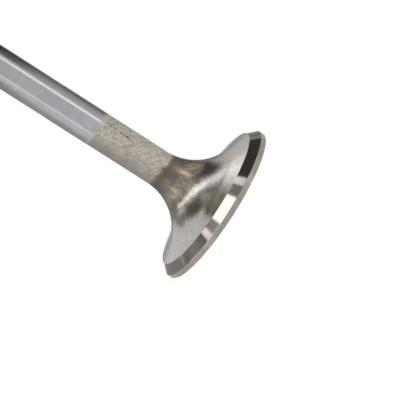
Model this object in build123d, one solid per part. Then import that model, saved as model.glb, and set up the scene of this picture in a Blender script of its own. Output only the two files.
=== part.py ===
"""Engine valve: one forged, turned and ground piece, standing on the flat face of its head.

Own frame: origin at the centre of the head's flat face, +Z along the stem to the tip.
Millimetres throughout. The outline is drawn in the XZ plane, with X as the radius.
"""
from build123d import *
import os
from math import radians, tan

# Head, from the flat face upwards
HEAD_RADIUS = 20.13
MARGIN_HEIGHT = 1.38
FACE_EDGE_RADIUS = 0.15
SEAT_ANGLE = 45.0
SEAT_INNER_RADIUS = 18.17
UNDERHEAD_ANGLE = 14.7
UNDERHEAD_FILLET_RADIUS = 13.4

# Stem
STEM_RADIUS = 4.35
OVERALL_LENGTH = 124.7
TIP_CHAMFER = 0.8

# Keeper groove, a round-cornered square groove near the tip
GROOVE_TO_TIP = 6.35
GROOVE_WIDTH = 1.7
GROOVE_ROOT_RADIUS = 3.6
GROOVE_CORNER_RADIUS = 0.3
GROOVE_EDGE_BREAK = 0.1

# How far the groove's ring reaches past the stem, and how near an edge must lie to be picked
OVERCUT = 1.0
NEAR = 0.01

# Heights worked out from the sizes above
SEAT_TOP = MARGIN_HEIGHT + (HEAD_RADIUS - SEAT_INNER_RADIUS) * tan(radians(SEAT_ANGLE))
UNDERHEAD_MEETS_STEM = SEAT_TOP + (SEAT_INNER_RADIUS - STEM_RADIUS) * tan(radians(UNDERHEAD_ANGLE))
GROOVE_TOP = OVERALL_LENGTH - GROOVE_TO_TIP
GROOVE_BOTTOM = GROOVE_TOP - GROOVE_WIDTH


def corner(section, radius, height):
    """The corner of a section that lies nearest to a radius and a height."""
    return section.vertices().sort_by_distance((radius, 0, height))[0]


def valve_blank():
    """Head, underhead and stem as one revolved outline, with the tip chamfered."""
    points = [
        (0, 0),
        (HEAD_RADIUS, 0),
        (HEAD_RADIUS, MARGIN_HEIGHT),
        (SEAT_INNER_RADIUS, SEAT_TOP),
        (STEM_RADIUS, UNDERHEAD_MEETS_STEM),
        (STEM_RADIUS, OVERALL_LENGTH),
        (0, OVERALL_LENGTH),
    ]
    section = Plane.XZ * make_face(Polyline(*points, close=True))
    section = fillet(corner(section, STEM_RADIUS, UNDERHEAD_MEETS_STEM), UNDERHEAD_FILLET_RADIUS)
    section = fillet(corner(section, HEAD_RADIUS, 0), FACE_EDGE_RADIUS)
    section = chamfer(corner(section, STEM_RADIUS, OVERALL_LENGTH), TIP_CHAMFER)
    return revolve(section, Axis.Z, 360)


def keeper_groove():
    """The ring of material that the keeper groove takes out, its inner corners rounded."""
    outer_radius = STEM_RADIUS + OVERCUT
    points = [
        (GROOVE_ROOT_RADIUS, GROOVE_BOTTOM),
        (outer_radius, GROOVE_BOTTOM),
        (outer_radius, GROOVE_TOP),
        (GROOVE_ROOT_RADIUS, GROOVE_TOP),
    ]
    section = Plane.XZ * make_face(Polyline(*points, close=True))
    for height in (GROOVE_BOTTOM, GROOVE_TOP):
        section = fillet(corner(section, GROOVE_ROOT_RADIUS, height), GROOVE_CORNER_RADIUS)
    return revolve(section, Axis.Z, 360)


def engine_valve():
    """The finished valve, with the groove cut and its two outer edges broken."""
    valve = valve_blank() - keeper_groove()
    groove_edges = [
        edge
        for edge in valve.edges().filter_by(GeomType.CIRCLE)
        if abs(edge.radius - STEM_RADIUS) < NEAR
        and GROOVE_BOTTOM - NEAR < edge.center().Z < GROOVE_TOP + NEAR
    ]
    return chamfer(groove_edges, GROOVE_EDGE_BREAK)


valve = engine_valve()
os.makedirs("parts", exist_ok=True)
export_step(valve, "parts/engine_valve.step")
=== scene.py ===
"""Looks of an engine valve: one forged, turned and ground body with its real finishes.

The body stands on the flat face of its head, as in the CAD, and the tent of soft studio cards
around it is only there for the metal to mirror. Lengths in the tables below are millimetres.
"""
from math import atan2, ceil, cos, exp, pi, radians, sin, tan

import bpy
from mathutils import Matrix, Vector, noise


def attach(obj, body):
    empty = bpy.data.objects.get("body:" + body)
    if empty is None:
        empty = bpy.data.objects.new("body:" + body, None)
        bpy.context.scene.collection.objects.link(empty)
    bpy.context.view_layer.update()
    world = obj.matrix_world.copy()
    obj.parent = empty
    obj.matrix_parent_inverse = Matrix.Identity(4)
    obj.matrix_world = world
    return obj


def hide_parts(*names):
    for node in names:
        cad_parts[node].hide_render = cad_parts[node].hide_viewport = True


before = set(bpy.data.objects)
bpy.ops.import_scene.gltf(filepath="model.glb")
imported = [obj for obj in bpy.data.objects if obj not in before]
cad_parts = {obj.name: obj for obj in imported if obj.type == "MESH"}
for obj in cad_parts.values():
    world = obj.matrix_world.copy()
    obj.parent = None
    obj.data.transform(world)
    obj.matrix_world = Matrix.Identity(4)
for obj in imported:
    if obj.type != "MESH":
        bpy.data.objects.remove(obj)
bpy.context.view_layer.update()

MM = 0.001
NODE = "engine_valve"

# ---- the turned outline, from the same values as the solid ----
HEAD_RADIUS = 20.13
MARGIN_HEIGHT = 1.38
FACE_EDGE_RADIUS = 0.15
SEAT_INNER_RADIUS = 18.17
SEAT_ANGLE = 45.0
UNDERHEAD_ANGLE = 14.7
UNDERHEAD_FILLET_RADIUS = 13.4
STEM_RADIUS = 4.35
OVERALL_LENGTH = 124.7
TIP_CHAMFER = 0.8
GROOVE_TO_TIP = 6.35
GROOVE_WIDTH = 1.7
GROOVE_ROOT_RADIUS = 3.6
GROOVE_CORNER_RADIUS = 0.3
GROOVE_EDGE_BREAK = 0.1
GROUND_EDGE_RADIUS = 0.06          # the worn corners of the seat
SEAT_TOP = MARGIN_HEIGHT + (HEAD_RADIUS - SEAT_INNER_RADIUS) * tan(radians(SEAT_ANGLE))
CONE_AT_STEM = SEAT_TOP + (SEAT_INNER_RADIUS - STEM_RADIUS) * tan(radians(UNDERHEAD_ANGLE))
GROOVE_TOP = OVERALL_LENGTH - GROOVE_TO_TIP
GROOVE_FOOT = GROOVE_TOP - GROOVE_WIDTH

# ---- where one finish ends and the next begins, as heights ----
BRUSHED_END = 16.0                 # the polished underhead stops here, in a scorched band
PLATING_START = 34.1               # the hard chrome of the stem starts here

# ---- the mesh: a stack of rings ----
AROUND = 264                       # vertices in a ring
STEP_IN_BEND = 0.16                # the longest piece of a rounded corner
GUARD = 0.03                       # a ring this near each end of a run keeps its shading flat
NEAR_STEM = 0.1                    # a run this near the stem's radius is a run of the stem
RUN_IN_NECK = 0.135                # short enough to carry the grain and the pits
RUN_IN_PLATING = 2.0
RUN_ELSEWHERE = 1.0

# ---- relief of the blasted neck and of the plating's end ----
GRAIN_RELIEF = 0.011
GRAIN_BELOW = 0.012                # the blasting takes the skin this far under the turned radius
RELIEF_FADE = 0.35                 # over this height the relief fades to nothing at either end
PLATING_WANDER = 0.16              # how far the plating's end strays up and down
WANDER_REACH = 0.5                 # how far from that end the rings still follow it


def rounded_outline(corners):
    """The outline through (radius, height, corner radius) points, its corners rounded."""
    path = [Vector(corners[0][:2])]
    for (before, here, after) in zip(corners, corners[1:], corners[2:]):
        at, size = Vector(here[:2]), here[2]
        if not size:
            path.append(at)
            continue
        back = (Vector(before[:2]) - at).normalized()
        onward = (Vector(after[:2]) - at).normalized()
        half = back.angle(onward) / 2
        centre = at + (back + onward).normalized() * size / sin(half)
        first = at + back * size / tan(half) - centre
        turn = (pi - 2 * half) * (1 if back.x * onward.y - back.y * onward.x < 0 else -1)
        count = max(3, ceil(abs(turn) * size / STEP_IN_BEND))
        for i in range(count + 1):
            path.append(centre + Matrix.Rotation(turn * i / count, 2) @ first)
    path.append(Vector(corners[-1][:2]))
    return path


def divided(path, longest):
    """The same line with its long runs cut up, and a guard point next to each end of a run."""
    out = [path[0]]
    for start, end in zip(path, path[1:]):
        run = end - start
        if run.length > 8 * GUARD:
            count = ceil(run.length / longest((start + end) / 2))
            stops = [GUARD / run.length] + [i / count for i in range(1, count)]
            out += [start + run * t for t in stops + [1 - GUARD / run.length]]
        out.append(end)
    return out


def longest_run(at):
    """How long a straight piece of the outline may be around a point."""
    if abs(at.x - STEM_RADIUS) < NEAR_STEM:
        return RUN_IN_NECK if at.y < PLATING_START else RUN_IN_PLATING
    return RUN_ELSEWHERE


def finish_at(radius, height):
    """Which finish a ring of faces has."""
    if height > GROOVE_FOOT - 0.01:
        return "tip"
    if height > PLATING_START:
        return "stem"
    if height > BRUSHED_END:
        return "neck"
    if height > SEAT_TOP:
        return "underhead"
    if height > MARGIN_HEIGHT:
        return "seat"
    return "margin" if radius > HEAD_RADIUS - FACE_EDGE_RADIUS else "face"


OUTLINE = (
    (0.0, 0.0, 0),
    (HEAD_RADIUS, 0.0, FACE_EDGE_RADIUS),
    (HEAD_RADIUS, MARGIN_HEIGHT, GROUND_EDGE_RADIUS),
    (SEAT_INNER_RADIUS, SEAT_TOP, GROUND_EDGE_RADIUS),
    (STEM_RADIUS, CONE_AT_STEM, UNDERHEAD_FILLET_RADIUS),
    (STEM_RADIUS, PLATING_START, 0),
    (STEM_RADIUS, GROOVE_FOOT, 0),
    (STEM_RADIUS - GROOVE_EDGE_BREAK, GROOVE_FOOT + GROOVE_EDGE_BREAK, 0),
    (GROOVE_ROOT_RADIUS, GROOVE_FOOT + GROOVE_EDGE_BREAK, GROOVE_CORNER_RADIUS),
    (GROOVE_ROOT_RADIUS, GROOVE_TOP - GROOVE_EDGE_BREAK, GROOVE_CORNER_RADIUS),
    (STEM_RADIUS - GROOVE_EDGE_BREAK, GROOVE_TOP - GROOVE_EDGE_BREAK, 0),
    (STEM_RADIUS, GROOVE_TOP, 0),
    (STEM_RADIUS, OVERALL_LENGTH - TIP_CHAMFER, 0),
    (STEM_RADIUS - TIP_CHAMFER, OVERALL_LENGTH, 0),
    (0.0, OVERALL_LENGTH, 0),
)

DARK_PIT = 0.12                    # as deep as this, a pit is dark all over
PIT_REACH = 2.5                    # a pit is felt over this many half lengths

# Corrosion pits in the blasted neck: bearing in degrees from the front, height,
# half length along the stem, half width, depth
PITS = (
    (33.5, 33.05, 0.30, 0.16, 0.10),
    (33.5, 32.00, 0.15, 0.24, 0.11),
    (32.5, 30.80, 0.30, 0.18, 0.10),
    (31.0, 29.45, 0.26, 0.14, 0.11),
    (29.5, 28.95, 0.26, 0.17, 0.09),
    (31.0, 28.10, 0.30, 0.12, 0.10),
    (30.5, 27.45, 0.38, 0.20, 0.15),
    (27.0, 26.60, 0.28, 0.14, 0.07),
    (22.0, 25.50, 0.34, 0.13, 0.05),
    (54.0, 27.20, 0.34, 0.16, 0.08),
    (41.0, 26.30, 0.30, 0.14, 0.05),
)


def neck_relief(x, y, z):
    """How far the blasted skin stands proud of the turned radius, and how deep a pit it is in."""
    at = Vector((x, y, z))
    grain = noise.noise(at * 2.3) + 0.7 * noise.noise(at * 4.7)
    pit = 0.0
    for bearing, height, half_length, half_width, depth in PITS:
        up = (z - height) / half_length
        if abs(up) < PIT_REACH:
            turn = atan2(x, -y) - radians(bearing)
            side = turn * STEM_RADIUS / half_width
            pit += depth * exp(-(up * up + side * side))
    return GRAIN_RELIEF * grain - GRAIN_BELOW - pit, pit


def ring_vertices(radius, height):
    """The vertices of one ring in metres, and how deep in a pit each one is."""
    verts, hollows = [], []
    inside_neck = min(height - BRUSHED_END, PLATING_START - height)
    near_plating = exp(-((height - PLATING_START) / WANDER_REACH) ** 2)
    for i in range(AROUND):
        turn = 2 * pi * i / AROUND
        side, front = cos(turn), sin(turn)
        reach, rise, pit = radius, height, 0.0
        if inside_neck > 0:
            relief, pit = neck_relief(radius * side, radius * front, height)
            reach += relief * min(1.0, inside_neck / RELIEF_FADE)
        if near_plating > 0.02:
            wander = noise.noise(Vector((side, front, 0.3)) * 5.0)
            wander += 0.5 * noise.noise(Vector((side, front, 0.9)) * 14.0)
            rise += PLATING_WANDER * near_plating * wander
        verts.append((reach * side * MM, reach * front * MM, rise * MM))
        hollows.append(min(1.0, pit / DARK_PIT))
    return verts, hollows


def body_faces(rings):
    """The faces between the rings and at both ends, and the finish of each."""
    def at(ring, i):
        """The vertex i of a ring, after the one at the centre of the head's face."""
        return 1 + ring * AROUND + i % AROUND

    count = len(rings) - 2
    last = 1 + count * AROUND
    faces = [(0, at(0, i + 1), at(0, i)) for i in range(AROUND)]
    finishes = ["face"] * AROUND
    for ring in range(count - 1):
        middle = (rings[ring + 1] + rings[ring + 2]) / 2
        for i in range(AROUND):
            faces.append((at(ring, i), at(ring, i + 1), at(ring + 1, i + 1), at(ring + 1, i)))
        finishes += [finish_at(middle.x, middle.y)] * AROUND
    faces += [(last, at(count - 1, i), at(count - 1, i + 1)) for i in range(AROUND)]
    finishes += ["tip"] * AROUND
    return faces, finishes


def build_body():
    """The whole valve as one closed mesh of rings, with a material slot for each finish."""
    rings = divided(rounded_outline(OUTLINE), longest_run)
    verts, hollows = [(0.0, 0.0, 0.0)], [0.0]
    for radius, height in rings[1:-1]:
        points, depths = ring_vertices(radius, height)
        verts += points
        hollows += depths
    verts.append((0.0, 0.0, OVERALL_LENGTH * MM))
    hollows.append(0.0)
    faces, finishes = body_faces(rings)

    mesh = bpy.data.meshes.new("valve_body")
    mesh.from_pydata(verts, [], faces)
    for material in FINISH.values():
        mesh.materials.append(material())
    slots = list(FINISH)
    mesh.polygons.foreach_set("material_index", [slots.index(name) for name in finishes])
    mesh.polygons.foreach_set("use_smooth", [True] * len(faces))
    mesh.attributes.new("hollow", "FLOAT", "POINT").data.foreach_set("value", hollows)
    mesh.update()
    body = bpy.data.objects.new("valve_body", mesh)
    bpy.context.collection.objects.link(body)
    return body


class Graph:
    """Shader nodes written as formulas."""

    def __init__(self, tree):
        self.tree = tree
        tree.nodes.clear()

    def add(self, kind, values=(), **settings):
        """A node of a kind, its settings made and its inputs fed with values or links."""
        node = self.tree.nodes.new("ShaderNode" + kind)
        for name, value in settings.items():
            setattr(node, name, value)
        for key, value in dict(values).items():
            self.feed(node.inputs[key], value)
        return node

    def feed(self, socket, value):
        """Links an output to a socket, or sets the socket's own value."""
        if isinstance(value, bpy.types.NodeSocket):
            self.tree.links.new(value, socket)
        elif value is not None:
            socket.default_value = value

    def math(self, operation, a, b=None, c=None, clamp=False):
        """A sum on numbers."""
        node = self.add("Math", operation=operation, use_clamp=clamp)
        for socket, value in zip(node.inputs, (a, b, c)):
            self.feed(socket, value)
        return node.outputs[0]

    def vector(self, operation, a, b=None, scale=None):
        """A sum on vectors."""
        node = self.add("VectorMath", operation=operation)
        self.feed(node.inputs[0], a)
        self.feed(node.inputs[1], b)
        if scale is not None:
            self.feed(node.inputs["Scale"], scale)
        return node.outputs["Value" if operation in ("LENGTH", "DOT_PRODUCT") else "Vector"]

    def ease(self, value, low, high, from_=0.0, to=1.0):
        """from_ below low, to above high, and a soft step between."""
        node = self.add("MapRange", interpolation_type="SMOOTHSTEP")
        for name, given in (("Value", value), ("From Min", low), ("From Max", high),
                            ("To Min", from_), ("To Max", to)):
            self.feed(node.inputs[name], given)
        return node.outputs[0]

    def noise(self, at, scale, detail=2.0, rough=0.5):
        """Cloudy noise around 0.5."""
        return self.add("TexNoise", {"Vector": at, "Scale": scale, "Detail": detail,
                                     "Roughness": rough}).outputs["Fac"]

    def blend(self, amount, a, b):
        """Colour a where the amount is 0, and b where it is 1."""
        node = self.add("Mix", data_type="RGBA")
        for index, value in ((0, amount), (6, a), (7, b)):
            self.feed(node.inputs[index], value)
        return node.outputs[2]

    def bump(self, height, distance, strength=1.0, normal=None):
        """A normal tilted by a height field, over another normal if one is given."""
        return self.add("Bump", {"Height": height, "Distance": distance, "Strength": strength,
                                 "Normal": normal}).outputs[0]

    def place(self):
        """Object coordinates in millimetres, the same without height, their radius and height."""
        at = self.vector("SCALE", self.add("TexCoord").outputs["Object"], scale=1 / MM)
        split = self.add("SeparateXYZ", {0: at})
        flat = self.add("CombineXYZ", {0: split.outputs[0], 1: split.outputs[1]}).outputs[0]
        return at, flat, self.vector("LENGTH", flat), split.outputs[2]

    def around(self, flat, height, finer, along, twist=None):
        """Coordinates that go once round the axis: marks drawn in them run along the outline."""
        direction = self.vector("NORMALIZE", flat)
        if twist is not None:
            direction = self.add("VectorRotate", {"Vector": direction, "Angle": twist},
                                 rotation_type="Z_AXIS").outputs[0]
        split = self.add("SeparateXYZ", {0: self.vector("SCALE", direction, scale=finer)})
        rise = self.math("MULTIPLY", height, along)
        return self.add("CombineXYZ", {0: split.outputs[0], 1: split.outputs[1],
                                       2: rise}).outputs[0]


def metal(name):
    """A new material, its graph, and a function that ends it in a metallic shader."""
    material = bpy.data.materials.new(name)
    material.use_nodes = True
    graph = Graph(material.node_tree)

    def end(**inputs):
        """Feeds the shader and the material's output, and gives the material back."""
        values = {"Metallic": 1.0}
        values.update({key.replace("_", " "): value for key, value in inputs.items()})
        shader = graph.add("BsdfPrincipled", values)
        graph.add("OutputMaterial", {"Surface": shader.outputs[0]})
        return material

    return graph, end


def grey(level, warm=0.0):
    """A metal's colour: a level with a touch of warmth, or of blue below zero."""
    return (level * (1 + warm), level, level * (1 - warm), 1.0)


# ---- base colours of the finishes ----
CHROME_CLOUDED = (0.575, 0.59, 0.625, 1)
CHROME_CLEAR = (0.615, 0.63, 0.66, 1)
BLASTED_DARK = (0.50, 0.47, 0.43, 1)
BLASTED_LIGHT = (0.79, 0.755, 0.695, 1)
BLASTED_WORN = (0.56, 0.54, 0.51, 1)
GRIT = (0.34, 0.30, 0.26, 1)
# the darker tone laid over the -X side of the neck
DARK_SIDE_TONE = (0.36, 0.33, 0.30, 1)
PIT_FLOOR = (0.10, 0.085, 0.07, 1)
SCORCH = (0.195, 0.168, 0.132, 1)    # the heat-stained steel where the polish stops
BRUSHED_DARK = (0.49, 0.48, 0.465, 1)
BRUSHED_LIGHT = (0.61, 0.60, 0.585, 1)
BRUSHED_FLECK = (0.33, 0.31, 0.29, 1)
BRUSHED_GRAIN = (0.36, 0.34, 0.32, 1)
BROWNED = (0.33, 0.295, 0.25, 1)
GLINT = (0.70, 0.67, 0.61, 1)
OVERBLAST = (0.60, 0.56, 0.50, 1)    # where the blasting of the neck reached the polish
TURNED_DARK = (0.48, 0.445, 0.39, 1)
TURNED_LIGHT = (0.56, 0.52, 0.46, 1)
SCRATCH_TURN = 0.147                 # radians per millimetre: the scratches climb as a helix
FACING_PITCH = 0.25                  # from one facing ring to the next


def plated_stem():
    """Hard chrome on a ground stem: nearly a mirror, faintly cloudy, thin where it ends."""
    g, end = metal("hard_chrome")
    at, flat, _, height = g.place()
    cloud = g.noise(at, 0.35, detail=3.0, rough=0.55)
    lines = g.noise(g.around(flat, height, 1.2, 9.0), 1.0, detail=4.0, rough=0.6)
    speck = g.noise(at, 3.0, detail=2.0)
    tint = g.blend(g.ease(cloud, 0.35, 0.65), CHROME_CLOUDED, CHROME_CLEAR)
    rough = g.math("ADD", g.ease(cloud, 0.3, 0.7, 0.17, 0.22),
                   g.ease(speck, 0.6, 0.75, 0.0, 0.03))
    reach = g.math("MULTIPLY_ADD", g.noise(at, 1.2, detail=3.0), -1.6, height)
    worn = g.ease(reach, PLATING_START - 0.9, PLATING_START + 0.3, 0.85, 0.0)
    tint = g.blend(worn, tint, BLASTED_WORN)
    rough = g.math("MULTIPLY_ADD", worn, 0.3, rough)
    normal = g.bump(lines, 0.0012 * MM)
    return end(Base_Color=tint, Roughness=rough, Normal=normal)


def blasted_neck():
    """Grit-blasted steel between the plating and the head: dull, grainy, pitted, heat-stained near
    the head, and darker towards -X.
    """
    g, end = metal("blasted_steel")
    at, flat, _, height = g.place()
    grain = g.noise(at, 1.9, detail=4.0, rough=0.75)
    speck = g.noise(at, 4.5, detail=2.0, rough=0.6)
    patch = g.noise(at, 0.5, detail=3.0, rough=0.55)
    helix = g.math("MULTIPLY", height, SCRATCH_TURN)
    scratch = g.noise(g.around(flat, height, 9.5, 0.8, helix), 1.0, detail=3.0, rough=0.65)
    mottle = g.math("ADD", g.math("MULTIPLY", grain, 0.5), g.math("MULTIPLY", scratch, 0.5))
    tint = g.blend(g.ease(mottle, 0.40, 0.60), BLASTED_DARK, BLASTED_LIGHT)
    tint = g.blend(g.ease(speck, 0.28, 0.44, 0.45, 0.0), tint, GRIT)
    side = g.add("SeparateXYZ", {0: flat}).outputs[0]
    # Darker towards -X: strongest on the -X side of the neck, gone on the +X side, its edge clouded
    # by noise.
    dark_side_reach = g.math("ADD", side, g.math("MULTIPLY", patch, 3.0))
    tint = g.blend(g.ease(dark_side_reach, -3.2, 2.0, 0.8, 0.0), tint, DARK_SIDE_TONE)
    hollow = g.add("Attribute", attribute_name="hollow").outputs["Fac"]
    tint = g.blend(hollow, tint, PIT_FLOOR)
    edge = g.math("MULTIPLY_ADD", g.noise(at, 1.1, detail=3.0), 2.0, height)
    edge = g.math("MULTIPLY_ADD", g.math("MAXIMUM", side, 0.0), 0.35, edge)
    scorched = g.ease(edge, BRUSHED_END + 0.9, BRUSHED_END + 2.1, 1.0, 0.0)
    tint = g.blend(scorched, tint, SCORCH)
    rough = g.ease(grain, 0.3, 0.7, 0.66, 0.76)
    normal = g.bump(mottle, 0.07 * MM)
    normal = g.bump(speck, 0.03 * MM, normal=normal)
    return end(Base_Color=tint, Roughness=rough, Normal=normal)


def brushed_underhead():
    """The belt-polished trumpet: fine marks from the neck outwards, browned near the neck."""
    g, end = metal("brushed_underhead")
    at, flat, radius, height = g.place()
    side = g.add("SeparateXYZ", {0: flat}).outputs[0]
    twist = g.ease(radius, 6.0, 19.0, 0.0, radians(26.0))
    streak = g.noise(g.around(flat, height, 46.0, 0.6, twist), 1.0, detail=4.0, rough=0.7)
    fleck = g.noise(g.around(flat, height, 20.0, 0.9, twist), 1.0, detail=3.0, rough=0.7)
    patch = g.noise(at, 0.8, detail=3.0)
    grain = g.noise(at, 2.2, detail=2.0, rough=0.7)
    near_neck = g.ease(height, 7.5, 11.0)
    tint = g.blend(g.ease(streak, 0.25, 0.75), BRUSHED_DARK, BRUSHED_LIGHT)
    tint = g.blend(g.ease(fleck, 0.35, 0.65, 0.2, 0.0), tint, BRUSHED_FLECK)
    tint = g.blend(g.ease(grain, 0.36, 0.54, 0.75, 0.0), tint, BRUSHED_GRAIN)
    browned = g.math("MULTIPLY", near_neck, g.ease(fleck, 0.38, 0.58, 1.0, 0.15))
    tint = g.blend(browned, tint, BROWNED)
    glint = g.math("MULTIPLY", near_neck, g.ease(fleck, 0.56, 0.72, 0.0, 0.7))
    tint = g.blend(glint, tint, GLINT)
    limit = g.math("ADD", height, g.math("MULTIPLY", g.math("ADD", patch, fleck), 2.2))
    scorched = g.ease(limit, BRUSHED_END - 2.4, BRUSHED_END + 2.0)
    tint = g.blend(scorched, tint, SCORCH)
    reach = g.math("MULTIPLY_ADD", side, 0.25, g.math("MULTIPLY_ADD", patch, 0.9, height))
    blasted = g.ease(reach, BRUSHED_END + 0.2, BRUSHED_END + 2.0)
    tint = g.blend(blasted, tint, OVERBLAST)
    rough = g.ease(fleck, 0.3, 0.7, 0.20, 0.25)
    rough = g.math("MULTIPLY_ADD", g.math("MAXIMUM", scorched, blasted), 0.25, rough)
    normal = g.bump(streak, 0.003 * MM)
    normal = g.bump(fleck, 0.014 * MM, g.ease(height, 5.0, 10.0, 0.12, 1.0), normal=normal)
    out = g.vector("NORMALIZE", flat)
    tangent = g.vector("CROSS_PRODUCT", (0.0, 0.0, 1.0), out)
    return end(Base_Color=tint, Roughness=rough, Anisotropic=0.3, Tangent=tangent, Normal=normal)


def ground_seat():
    """The ground sealing face: bright, with a hair of grinding lines around it."""
    g, end = metal("ground_seat")
    at, flat, _, height = g.place()
    lines = g.noise(g.around(flat, height, 1.0, 14.0), 1.0, detail=3.0, rough=0.6)
    patch = g.noise(at, 0.5, detail=2.0)
    rough = g.ease(patch, 0.3, 0.7, 0.08, 0.10)
    tint = g.blend(g.ease(lines, 0.35, 0.65), grey(0.48, 0.01), grey(0.54, 0.01))
    normal = g.bump(lines, 0.0002 * MM)
    return end(Base_Color=tint, Roughness=rough, Normal=normal)


def turned_margin():
    """The rim: a plain turned surface, satin, with its tool lines around it."""
    g, end = metal("turned_margin")
    at, flat, _, height = g.place()
    lines = g.noise(g.around(flat, height, 1.5, 10.0), 1.0, detail=3.0, rough=0.6)
    patch = g.noise(at, 0.7, detail=3.0)
    tint = g.blend(g.ease(patch, 0.3, 0.7), TURNED_DARK, TURNED_LIGHT)
    normal = g.bump(lines, 0.003 * MM)
    upward = g.add("CombineXYZ", {2: 1.0}).outputs[0]
    return end(Base_Color=tint, Roughness=g.ease(lines, 0.3, 0.7, 0.42, 0.48), Anisotropic=1.0,
               Tangent=upward, Normal=normal)


def turned_face():
    """The flat face of the head: facing marks in rings, under a faint stain."""
    g, end = metal("turned_face")
    at, _, radius, _ = g.place()
    groove = g.math("SINE", g.math("MULTIPLY", radius, 2 * pi / FACING_PITCH))
    patch = g.noise(at, 0.25, detail=3.0)
    tint = g.blend(g.ease(patch, 0.3, 0.7), grey(0.46, 0.03), grey(0.54, 0.02))
    normal = g.bump(groove, 0.002 * MM)
    return end(Base_Color=tint, Roughness=g.ease(patch, 0.3, 0.7, 0.30, 0.38), Normal=normal)


def hardened_tip():
    """The tip with its keeper groove: bare ground steel, a little darker than the plating."""
    g, end = metal("hardened_tip")
    at, flat, _, height = g.place()
    lines = g.noise(g.around(flat, height, 1.5, 8.0), 1.0, detail=3.0, rough=0.6)
    patch = g.noise(at, 0.8, detail=3.0)
    tint = g.blend(g.ease(patch, 0.35, 0.65), grey(0.46, 0.01), grey(0.55, 0.005))
    normal = g.bump(lines, 0.0015 * MM)
    return end(Base_Color=tint, Roughness=g.ease(lines, 0.3, 0.7, 0.24, 0.30), Normal=normal)


FINISH = {"face": turned_face, "margin": turned_margin, "seat": ground_seat,
          "underhead": brushed_underhead, "neck": blasted_neck, "stem": plated_stem,
          "tip": hardened_tip}

# ---- the studio: a tent of cards that only reflections see ----
# Tints of the light, as red, green and blue against its level
BROWN = (1.18, 1.00, 0.82)
WARM = (1.08, 1.00, 0.90)
SOFT = (1.04, 1.00, 0.94)
PLAIN = (1.00, 1.00, 1.00)

# Each wall: the two axes it spans, the axis it faces along and where it stands on it, its
# extent, the level and tint of its cloth, and what hangs on it, the last one foremost, as
# (name, centre, half size, tilt in degrees, softness of the edge, level, tint). Places and sizes
# go in steps of 10 mm and tilts in steps of 5 degrees.
TENT = {
    "roof": (("x", "y"), "z", 440, (-260, 260), (-280, 420), 0.2, BROWN, (
        ("cloth over the back", (-150, 340), (120, 90), 0, 60, 0.9, SOFT),
        ("dark over the stem", (-90, 100), (180, 130), 0, 50, 0.1, BROWN),
        ("front edge", (60, -250), (220, 40), 0, 20, 0.4, WARM),
        ("strip light", (170, 220), (50, 200), 0, 60, 1.5, PLAIN),
        ("key light", (10, -120), (100, 60), 5, 20, 2.0, SOFT),
        ("left lath", (-170, -120), (110, 30), -25, 20, 2.5, SOFT),
        ("right lath", (120, -20), (50, 40), 0, 20, 2.5, SOFT),
        ("left spot", (-200, -50), (30, 10), -30, 10, 1.5, SOFT),
        ("right spot", (230, -30), (40, 10), 35, 20, 1.6, PLAIN),
    )),
    "left_wall": (("y", "z"), "x", -260, (-280, 420), (0, 440), 0.3, WARM, (
        ("front sheet", (-200, 170), (60, 200), 0, 60, 1.1, WARM),
        ("middle sheet", (-60, 190), (120, 30), -35, 30, 0.9, WARM),
        ("low sheet", (150, 100), (190, 20), -5, 30, 0.6, SOFT),
        ("flag", (80, 340), (140, 110), -55, 40, 0.2, BROWN),
        ("upper lath", (130, 310), (100, 20), -50, 40, 1.1, SOFT),
        ("lower lath", (0, 330), (130, 20), -50, 20, 2.5, SOFT),
    )),
    "right_wall": (("y", "z"), "x", 260, (-280, 420), (0, 440), 0.3, BROWN, (
        ("front sheet", (-200, 170), (50, 200), 0, 60, 1.6, WARM),
        ("middle sheet", (30, 140), (150, 50), -10, 40, 0.5, BROWN),
        ("low flag", (80, 40), (330, 50), 0, 50, 0.05, SOFT),
        ("flag", (190, 230), (180, 40), -25, 10, 0.05, SOFT),
        ("upper flag", (50, 410), (280, 110), -15, 20, 0.05, BROWN),
    )),
    "front_wall": (("x", "z"), "y", -280, (-260, 260), (0, 440), 0.5, WARM, (
        ("flag", (0, 130), (190, 40), 0, 40, 0.15, BROWN),
    )),
    "back_wall": (("x", "z"), "y", 420, (-260, 260), (0, 440), 0.7, SOFT, (
        ("left sheet", (-150, 220), (130, 220), 0, 40, 0.85, PLAIN),
        ("corner flag", (-260, 40), (110, 200), 45, 40, 0.3, SOFT),
        ("low flag", (200, 50), (60, 90), 0, 40, 0.2, SOFT),
        ("high flag", (20, 390), (40, 60), 0, 20, 0.05, BROWN),
        ("lamp", (80, 310), (30, 50), 10, 20, 2.0, SOFT),
        ("upper lamp", (140, 390), (50, 30), 50, 30, 1.5, SOFT),
    )),
}


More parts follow.
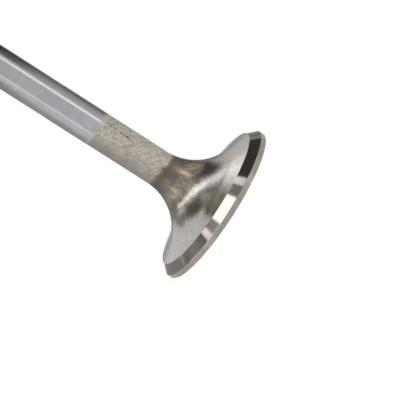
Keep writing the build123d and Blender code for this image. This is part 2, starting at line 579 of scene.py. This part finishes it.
def tent_cloth(name, spans, level, tint, hangings):
    """Emission at the cloth's level, with what hangs on it laid over it."""
    material = bpy.data.materials.new(name)
    material.use_nodes = True
    g = Graph(material.node_tree)
    split = g.add("SeparateXYZ", {0: g.add("TexCoord").outputs["Object"]})
    u, v = (split.outputs["xyz".index(axis)] for axis in spans)
    glow = tuple(level * share for share in tint)
    for _, centre, half, tilt, soft, lit, colour in hangings:
        side, rise = cos(radians(tilt)), sin(radians(tilt))
        du = g.math("SUBTRACT", u, centre[0] * MM)
        dv = g.math("SUBTRACT", v, centre[1] * MM)
        along = g.math("ADD", g.math("MULTIPLY", du, side), g.math("MULTIPLY", dv, rise))
        across = g.math("SUBTRACT", g.math("MULTIPLY", dv, side), g.math("MULTIPLY", du, rise))
        cover = None
        for offset, reach in ((along, half[0]), (across, half[1])):
            inside = g.ease(g.math("ABSOLUTE", offset), (reach - soft / 2) * MM,
                            (reach + soft / 2) * MM, 1.0, 0.0)
            cover = inside if cover is None else g.math("MULTIPLY", cover, inside)
        node = g.add("Mix", data_type="VECTOR", clamp_factor=True)
        for index, value in ((0, cover), (4, glow), (5, tuple(lit * share for share in colour))):
            g.feed(node.inputs[index], value)
        glow = node.outputs[1]
    light = g.add("Emission", {"Color": glow, "Strength": 1.0})
    g.add("OutputMaterial", {"Surface": light.outputs[0]})
    return material


def show_to_metal_only(card):
    """Makes a card part of the stage that only reflections see."""
    card.visible_camera = False
    card.visible_diffuse = False
    card.visible_shadow = False


def raise_tent():
    """The roof and the four walls, each one face."""
    for name, (spans, faces, where, us, vs, level, tint, hangings) in TENT.items():
        corners = []
        for u, v in ((us[0], vs[0]), (us[1], vs[0]), (us[1], vs[1]), (us[0], vs[1])):
            spot = {spans[0]: u, spans[1]: v, faces: where}
            corners.append(tuple(spot[axis] * MM for axis in "xyz"))
        mesh = bpy.data.meshes.new(name)
        mesh.from_pydata(corners, [], [(0, 1, 2, 3)])
        mesh.materials.append(tent_cloth(name, spans, level, tint, hangings))
        card = bpy.data.objects.new(name, mesh)
        bpy.context.collection.objects.link(card)
        show_to_metal_only(card)


# The low round screen inside the tent, which the stem mirrors. Bearings are in degrees from the
# front towards +X; a strip is (name, middle, half width, softness of the edge, level).
SCREEN_RADIUS = 150.0
SCREEN_STEPS = ((72, 62.0), (140, 44.0), (180, 30.0))     # its height up to a bearing, either way
SCREEN_TINT = (1.01, 1.00, 0.985)
SCREEN_FRONT = 0.6
SCREEN_BACK = 0.3
SCREEN_STRIPS = (
    ("left glow", -70, 20, 30, 0.7),
    ("left strip light", -45, 5, 5, 1.0),
    ("right strip light", 50, 5, 10, 1.6),
    ("shade on the right", 130, 20, 40, 0.15),
)


def screen_level(bearing):
    """The screen's level at a bearing: cloth that fades towards the back, under its strips."""
    level = SCREEN_BACK + (SCREEN_FRONT - SCREEN_BACK) * (1 + cos(radians(bearing))) / 2
    for _, middle, half, soft, lit in SCREEN_STRIPS:
        inside = 0.5 - (abs(bearing - middle) - half) / soft
        level += min(1.0, max(0.0, inside)) * (lit - level)
    return level


def raise_screen():
    """The round screen: a ring of upright faces that carry their level as a colour."""
    verts, levels = [], []
    for bearing in range(-180, 180):
        x = SCREEN_RADIUS * MM * sin(radians(bearing))
        y = -SCREEN_RADIUS * MM * cos(radians(bearing))
        height = next(high for limit, high in SCREEN_STEPS if abs(bearing) <= limit)
        verts += [(x, y, 0.0), (x, y, height * MM)]
        levels += [screen_level(bearing)] * 2
    count = len(verts)
    faces = [(i, (i + 2) % count, (i + 3) % count, i + 1) for i in range(0, count, 2)]
    mesh = bpy.data.meshes.new("round_screen")
    mesh.from_pydata(verts, [], faces)
    mesh.attributes.new("level", "FLOAT", "POINT").data.foreach_set("value", levels)
    material = bpy.data.materials.new("round_screen")
    material.use_nodes = True
    g = Graph(material.node_tree)
    level = g.add("Attribute", attribute_name="level").outputs["Fac"]
    light = g.add("Emission", {"Color": SCREEN_TINT + (1.0,), "Strength": level})
    g.add("OutputMaterial", {"Surface": light.outputs[0]})
    mesh.materials.append(material)
    screen = bpy.data.objects.new("round_screen", mesh)
    bpy.context.collection.objects.link(screen)
    show_to_metal_only(screen)


def seen_directly(g):
    """1 for the rays that should find a white background: from the camera, metal and glass."""
    rays = g.add("LightPath").outputs
    either = g.math("ADD", rays["Is Camera Ray"], rays["Is Glossy Ray"])
    return g.math("ADD", either, rays["Is Transmission Ray"], clamp=True)


FLOOR_SIZE = 4.0
FLOOR_GLOW = 0.85                  # the share of the floor's white that no shadow reaches
FLOOR_WHITE = 0.85                 # what the floor reflects
FLOOR_DROP = 0.01                  # the floor lies this far under the head's face
WHITE_SPARE = 0.01                 # a little over white, so that the floor never greys


def lay_floor():
    """A plain white floor that keeps the valve's shadow."""
    half = FLOOR_SIZE / 2
    mesh = bpy.data.meshes.new("floor")
    below = -FLOOR_DROP * MM
    mesh.from_pydata([(-half, -half, below), (half, -half, below), (half, half, below),
                      (-half, half, below)], [], [(0, 1, 2, 3)])
    material = bpy.data.materials.new("white_floor")
    material.use_nodes = True
    g = Graph(material.node_tree)
    paint = g.add("BsdfDiffuse", {"Color": (FLOOR_WHITE, FLOOR_WHITE, FLOOR_WHITE, 1.0)})
    white = (1 - (1 - FLOOR_GLOW) * FLOOR_WHITE) / FLOOR_GLOW
    glow = g.add("Emission", {"Color": (1.0, 1.0, 1.0, 1.0), "Strength": white + WHITE_SPARE})
    share = g.math("MULTIPLY", seen_directly(g), FLOOR_GLOW)
    both = g.add("MixShader", {0: share, 1: paint.outputs[0], 2: glow.outputs[0]})
    g.add("OutputMaterial", {"Surface": both.outputs[0]})
    mesh.materials.append(material)
    floor = bpy.data.objects.new("floor", mesh)
    bpy.context.collection.objects.link(floor)


def light_world():
    """An even white sky at the level at which a colour renders as it is written."""
    world = bpy.data.worlds.new("white_sky")
    bpy.context.scene.world = world
    world.use_nodes = True
    g = Graph(world.node_tree)
    sky = g.add("Background", {"Color": (1.0, 1.0, 1.0, 1.0), "Strength": 1.0})
    g.add("OutputWorld", {"Surface": sky.outputs[0]})


# ---- the camera: where the photograph was taken from ----
IMAGE_SIZE = 400
SENSOR = 36.0
LENS = 160.86
ELEVATION = 11.584                 # degrees above the plane of the head
DEPTH = 423.0                      # along the view, to the middle of the head's face
HEAD_AT = (217.17, 205.56)         # the pixel of that middle
STEM_LEANS = 212.56                # where the stem points in the picture, degrees from right


def set_camera():
    """The camera, aimed so that the head's face lies on its pixel and the stem leans as it does."""
    tilt, lean = radians(ELEVATION), radians(STEM_LEANS)
    ahead = Vector((0, cos(tilt), -sin(tilt)))
    up = Vector((0, sin(tilt), cos(tilt)))
    side = Vector((1, 0, 0))
    right = cos(lean) * up - sin(lean) * side
    down = sin(lean) * up + cos(lean) * side
    pixels = LENS / SENSOR * IMAGE_SIZE
    off = [(pixel - IMAGE_SIZE / 2) / pixels for pixel in HEAD_AT]
    place = -(ahead + off[0] * right + off[1] * down) * DEPTH * MM
    data = bpy.data.cameras.new("camera")
    data.sensor_width = SENSOR
    data.lens = LENS
    data.clip_start = 0.01
    camera = bpy.data.objects.new("camera", data)
    bpy.context.collection.objects.link(camera)
    turn = Matrix((right, -down, -ahead)).transposed().to_4x4()
    camera.matrix_world = Matrix.Translation(place) @ turn
    bpy.context.scene.camera = camera


body = build_body()
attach(body, "root")
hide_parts(NODE)
raise_tent()
raise_screen()
lay_floor()
light_world()
set_camera()
bpy.context.scene.view_settings.view_transform = "Standard"
